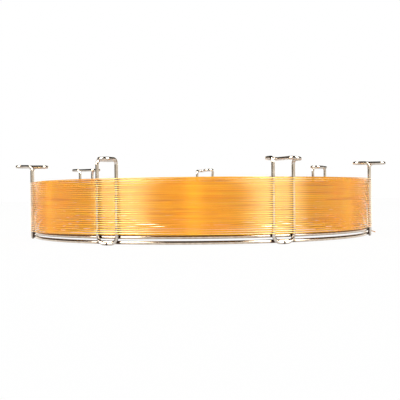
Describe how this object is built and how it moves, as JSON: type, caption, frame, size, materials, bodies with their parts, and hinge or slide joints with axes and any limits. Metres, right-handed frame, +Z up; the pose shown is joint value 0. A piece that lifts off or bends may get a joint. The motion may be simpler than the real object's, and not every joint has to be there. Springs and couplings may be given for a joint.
{
  "type": "capillary column on a wire cage",
  "caption": "Fine amber coated capillary tube woven in one layer through the bent loops of an open steel wire cage, with S-shaped tops and two welded rings, for hanging in an analyser's oven.",
  "frame": {"origin": "on the cage's axis, in the plane that the feet of the seven loops stand on", "axes": "+Z up along the cage's axis, from the feet to the S-shaped tops; -Y towards the front, midway between the first two loops; +X to the right seen from the front"},
  "size_m": [0.1881, 0.1842, 0.0382],
  "materials": {
    "loop_wire": "bright drawn stainless wire, with faint lines along the wire and small marks at the bends",
    "ring_wire": "bright drawn stainless wire, slightly browned at the welds",
    "coated_tube": "glossy clear amber coat over a hollow silica tube"
  },
  "bodies": {
    "root": {"wire_loop_1": "loop_wire", "wire_loop_2": "loop_wire", "wire_loop_3": "loop_wire", "wire_loop_4": "loop_wire", "wire_loop_5": "loop_wire", "wire_loop_6": "loop_wire", "wire_loop_7": "loop_wire", "upper_ring": "ring_wire", "base_ring": "ring_wire", "capillary_winding": "coated_tube"}
  },
  "joints": []
}
